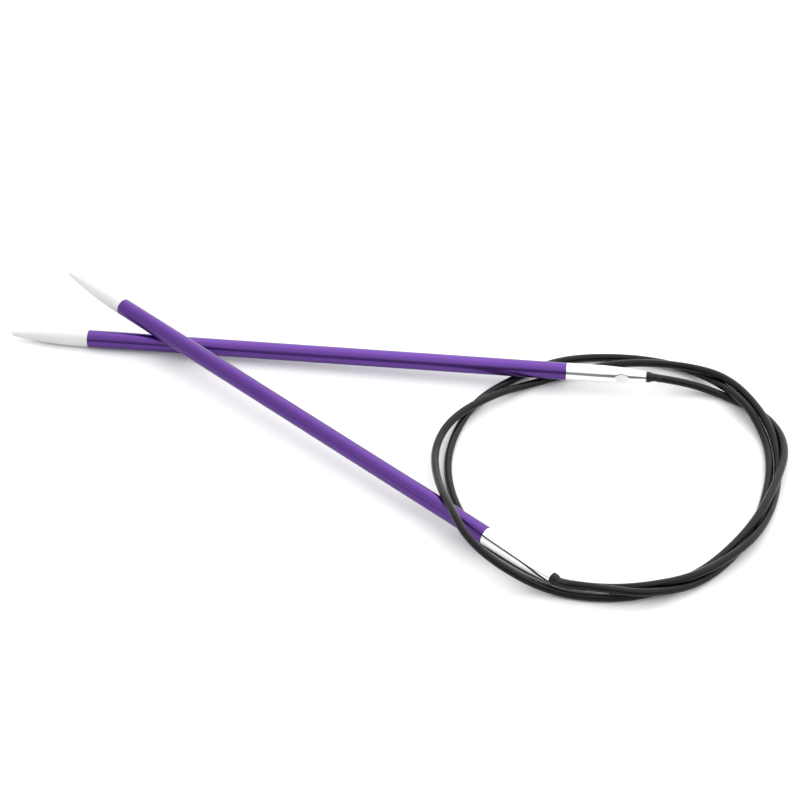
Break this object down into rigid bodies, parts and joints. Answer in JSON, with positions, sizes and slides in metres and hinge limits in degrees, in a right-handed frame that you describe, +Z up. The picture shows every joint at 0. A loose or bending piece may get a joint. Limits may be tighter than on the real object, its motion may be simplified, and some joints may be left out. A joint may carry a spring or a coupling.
{
  "type": "circular knitting needle",
  "caption": "Circular knitting needle: two rigid metal needles with swivelling ferrules on one long coiled flexible cord.",
  "frame": {"origin": "on the surface the needle lies on, under the middle of the two rigid needles' box", "axes": "+Z up from the surface, +X along the longer spread of the two needles, from their points toward the coil, +Y to the far side"},
  "size_m": [0.1559, 0.0916, 0.0104],
  "materials": {
    "cord_nylon": "semi-gloss charcoal nylon",
    "collar_black": "satin moulded",
    "pin_steel": "turned",
    "tip_nickel": "satin polished bare metal",
    "shaft_purple": "satin purple anodised",
    "ferrule_nickel": "bright nickel plated"
  },
  "bodies": {
    "cord_assembly": {"cord": "cord_nylon", "cord_collar_a": "collar_black", "cord_collar_b": "collar_black", "swivel_pin_a": "pin_steel", "swivel_pin_b": "pin_steel"},
    "needle_a": {"needle_tip_a": "tip_nickel", "shaft_a": "shaft_purple", "ferrule_a": "ferrule_nickel"},
    "needle_b": {"needle_tip_b": "tip_nickel", "shaft_b": "shaft_purple", "ferrule_b": "ferrule_nickel"}
  },
  "joints": [
    {"name": "needle_a_swivel", "type": "hinge", "parent": "cord_assembly", "child": "needle_a", "pos_m": [0.05641, 0.01396, 0.00385], "axis": [0.9913, -0.1303, 0.0193], "continuous": true},
    {"name": "needle_b_swivel", "type": "hinge", "parent": "cord_assembly", "child": "needle_b", "pos_m": [0.03715, -0.03777, 0.00342], "axis": [0.7436, -0.6681, -0.0243], "continuous": true}
  ]
}
